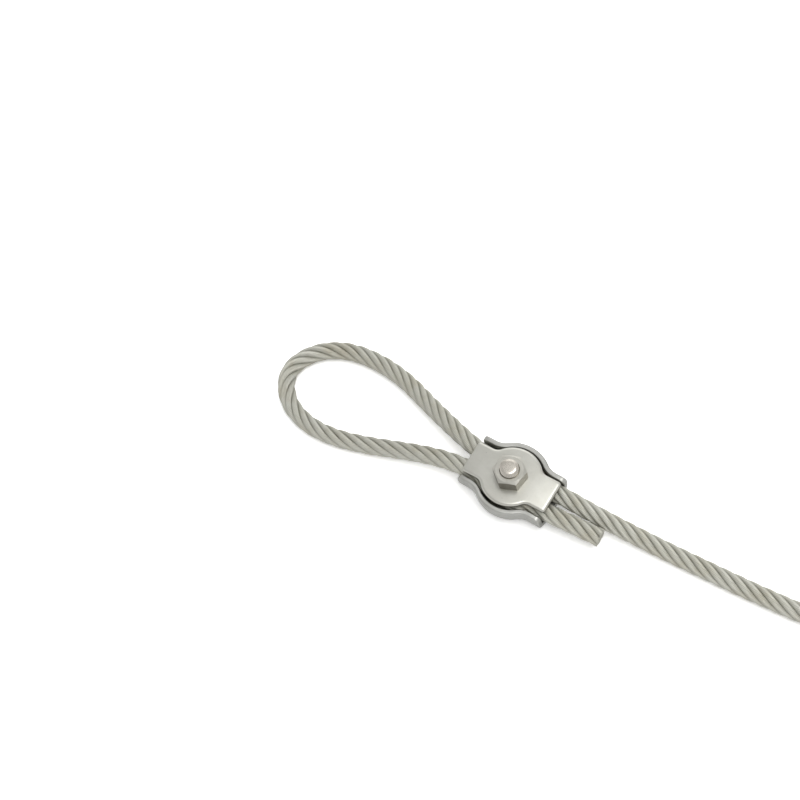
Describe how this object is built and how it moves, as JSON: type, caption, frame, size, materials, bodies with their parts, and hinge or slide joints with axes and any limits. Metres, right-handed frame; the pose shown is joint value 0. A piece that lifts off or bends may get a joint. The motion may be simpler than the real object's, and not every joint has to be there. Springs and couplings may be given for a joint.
{
  "type": "wire rope clip",
  "caption": "Simplex wire rope clip that closes a steel wire rope into an eye: pressed channel with bulged walls, flat cover plate, bolt and hexagon nut.",
  "frame": {"origin": "on the bolt's axis, at the underside of the bolt's head, which stands on the ground", "axes": "+Z along the bolt, towards the nut; +X along the channel, towards the rope's live end; +Y across, towards the live strand"},
  "size_m": [0.1739, 0.0307, 0.016],
  "materials": {
    "pressed_steel": "tumbled stainless steel sheet with rounded edges",
    "plate_steel": "smooth stainless steel sheet with bright rounded edges",
    "bolt_steel": "bright stainless steel with rolled thread",
    "nut_steel": "stainless steel, turned faces and darker flats",
    "rope_wire": "drawn stainless steel wire, laid in strands"
  },
  "bodies": {
    "clip": {"clip_body": "pressed_steel", "bolt": "bolt_steel", "wire_rope": "rope_wire"},
    "cover": {"cover_plate": "plate_steel"},
    "nut": {"hex_nut": "nut_steel"}
  },
  "joints": [
    {"name": "plate_lift", "type": "slide", "parent": "clip", "child": "cover", "axis": [0, 0, 1], "range_m": [0, 0.0056]},
    {"name": "nut_turn", "type": "hinge", "parent": "cover", "child": "nut", "pos_m": [0, 0, 0.00957], "axis": [0, 0, 1], "range_deg": [0, 2520]}
  ],
  "couplings": [
    {"joint": "nut_turn", "follows": "plate_lift", "rad_per_m": 7854}
  ]
}
